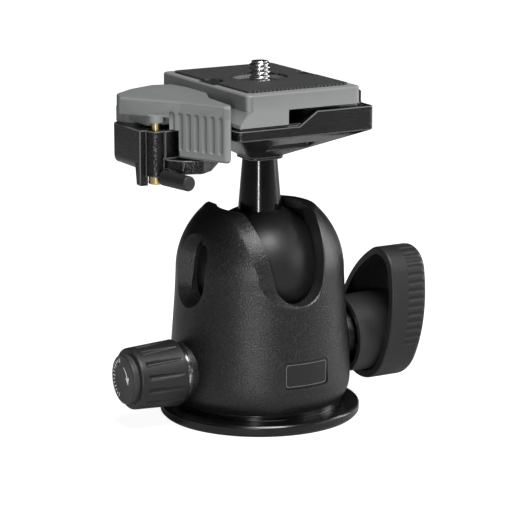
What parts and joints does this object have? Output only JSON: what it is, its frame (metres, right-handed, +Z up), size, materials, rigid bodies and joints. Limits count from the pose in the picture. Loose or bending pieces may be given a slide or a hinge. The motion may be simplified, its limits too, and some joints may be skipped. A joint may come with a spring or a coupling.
{
  "type": "tripod ball head",
  "caption": "Compact ball head with round base, domed housing with drop notches, wing lock knob, friction knob and a lever clamp holding a quick release plate.",
  "frame": {"origin": "centre of the tripod thread in the plane of the base underside", "axes": "+Z up along the stem, -Y towards the front drop notch, -X towards the quick release lever and the friction knob, +X towards the wing lock knob"},
  "size_m": [0.095, 0.06, 0.1064],
  "materials": {
    "body_paint": "black speckled powder coat on a light alloy casting",
    "base_paint": "black coated turned disc",
    "insert_steel": "turned steel",
    "zinc_steel": "plated screw steel",
    "label": "bare satin plate",
    "slip_plastic": "dark slippery plastic",
    "bronze_bush": "bearing bronze",
    "bright_washer": "bright turned washer",
    "hard_steel": "dark hardened steel",
    "knob_rubber": "black soft touch moulding",
    "cap_plastic": "satin printed cap",
    "spring_steel": "spring wire",
    "ball_black": "polished black anodised",
    "stem_black": "gloss black anodised",
    "clamp_paint": "black coated casting",
    "lever_grey": "grey painted casting",
    "jaw_steel": "grey sintered jaw",
    "brass_pin": "bright brass",
    "safety_black": "black moulding",
    "plate_grey": "grey satin painted casting",
    "pad_rubber": "black ribbed rubber",
    "screw_steel": "bright screw steel"
  },
  "bodies": {
    "body_group": {"housing": "body_paint", "base_disc": "base_paint", "tripod_bush": "insert_steel", "base_screws": "zinc_steel", "label_plate": "label", "upper_seat": "slip_plastic", "lock_bushing": "bronze_bush", "friction_bushing": "bronze_bush", "friction_washer": "bright_washer"},
    "wedge": {"lock_wedge": "hard_steel"},
    "cup": {"pressure_cup": "slip_plastic"},
    "lock": {"lock_shaft": "hard_steel", "lock_clip": "spring_steel", "lock_knob": "knob_rubber", "lock_cap": "cap_plastic"},
    "friction": {"friction_knob": "knob_rubber", "friction_cap": "cap_plastic", "friction_screw": "hard_steel"},
    "plunger": {"friction_plunger": "hard_steel", "friction_spring": "spring_steel"},
    "liner": {"ball_liner": "slip_plastic"},
    "stud": {"stem_stud": "hard_steel", "stud_nut": "hard_steel"},
    "ball": {"ball": "ball_black", "stem": "stem_black", "clamp_base": "clamp_paint", "pivot_pin": "hard_steel", "trigger_spring": "spring_steel"},
    "lever": {"lever": "lever_grey", "lever_jaw": "jaw_steel"},
    "safety": {"safety_pin": "brass_pin", "safety_arm": "safety_black"},
    "trigger": {"trigger_pin": "brass_pin"},
    "plate": {"plate_body": "plate_grey", "plate_pad": "pad_rubber"},
    "screw": {"camera_screw": "screw_steel", "screw_clip": "spring_steel", "screw_ring": "screw_steel"}
  },
  "joints": [
    {"name": "lateral_tilt", "type": "hinge", "parent": "body_group", "child": "liner", "pos_m": [0, 0, 0.044], "axis": [0, 1, 0], "range_deg": [-16.5, 16.5]},
    {"name": "front_tilt", "type": "hinge", "parent": "liner", "child": "stud", "pos_m": [0, 0, 0.044], "axis": [1, 0, 0], "range_deg": [-90, 90]},
    {"name": "pan", "type": "hinge", "parent": "stud", "child": "ball", "pos_m": [0, 0, 0.044], "axis": [0, 0, 1], "continuous": true},
    {"name": "lever_swing", "type": "hinge", "parent": "ball", "child": "lever", "pos_m": [-0.037, 0.01, 0.0966], "axis": [0, 0, -1], "range_deg": [0, 75], "stiffness_Nm_per_rad": 0.05, "springref_deg": -57.3},
    {"name": "safety_turn", "type": "hinge", "parent": "ball", "child": "safety", "pos_m": [-0.0389, -0.0084, 0.083], "axis": [0, 0, -1], "range_deg": [0, 60]},
    {"name": "trigger_slide", "type": "slide", "parent": "ball", "child": "trigger", "axis": [0, 0, 1], "range_m": [0, 0.0013], "deforming": ["trigger_spring"]},
    {"name": "plate_tip", "type": "hinge", "parent": "ball", "child": "plate", "pos_m": [0.0213, 0, 0.0918], "axis": [0, 1, 0], "range_deg": [0, 5]},
    {"name": "camera_screw_turn", "type": "hinge", "parent": "plate", "child": "screw", "pos_m": [0, 0, 0.1], "axis": [0, 0, 1], "continuous": true},
    {"name": "lock_turn", "type": "hinge", "parent": "body_group", "child": "lock", "pos_m": [0.03, 0, 0.02], "axis": [1, 0, 0], "range_deg": [0, 180]},
    {"name": "wedge_slide", "type": "slide", "parent": "body_group", "child": "wedge", "axis": [-1, 0, 0], "range_m": [0, 0.00101]},
    {"name": "cup_slide", "type": "slide", "parent": "body_group", "child": "cup", "axis": [0, 0, -1], "range_m": [0, 0.000142]},
    {"name": "friction_turn", "type": "hinge", "parent": "body_group", "child": "friction", "pos_m": [-0.036, 0, 0.0156], "axis": [1, 0, 0], "range_deg": [-180, 180]},
    {"name": "plunger_slide", "type": "slide", "parent": "body_group", "child": "plunger", "axis": [1, 0, 0], "range_m": [-0.00081, 0.00081], "deforming": ["friction_spring"]}
  ],
  "couplings": [
    {"joint": "wedge_slide", "follows": "lock_turn", "m_per_rad": 0.00031831},
    {"joint": "cup_slide", "follows": "lock_turn", "m_per_rad": 0.000044563},
    {"joint": "plunger_slide", "follows": "friction_turn", "m_per_rad": 0.00025465},
    {"joint": "plate_tip", "follows": "lever_swing", "ratio": 0.066666},
    {"joint": "trigger_slide", "follows": "lever_swing", "m_per_rad": 0.00099313}
  ]
}
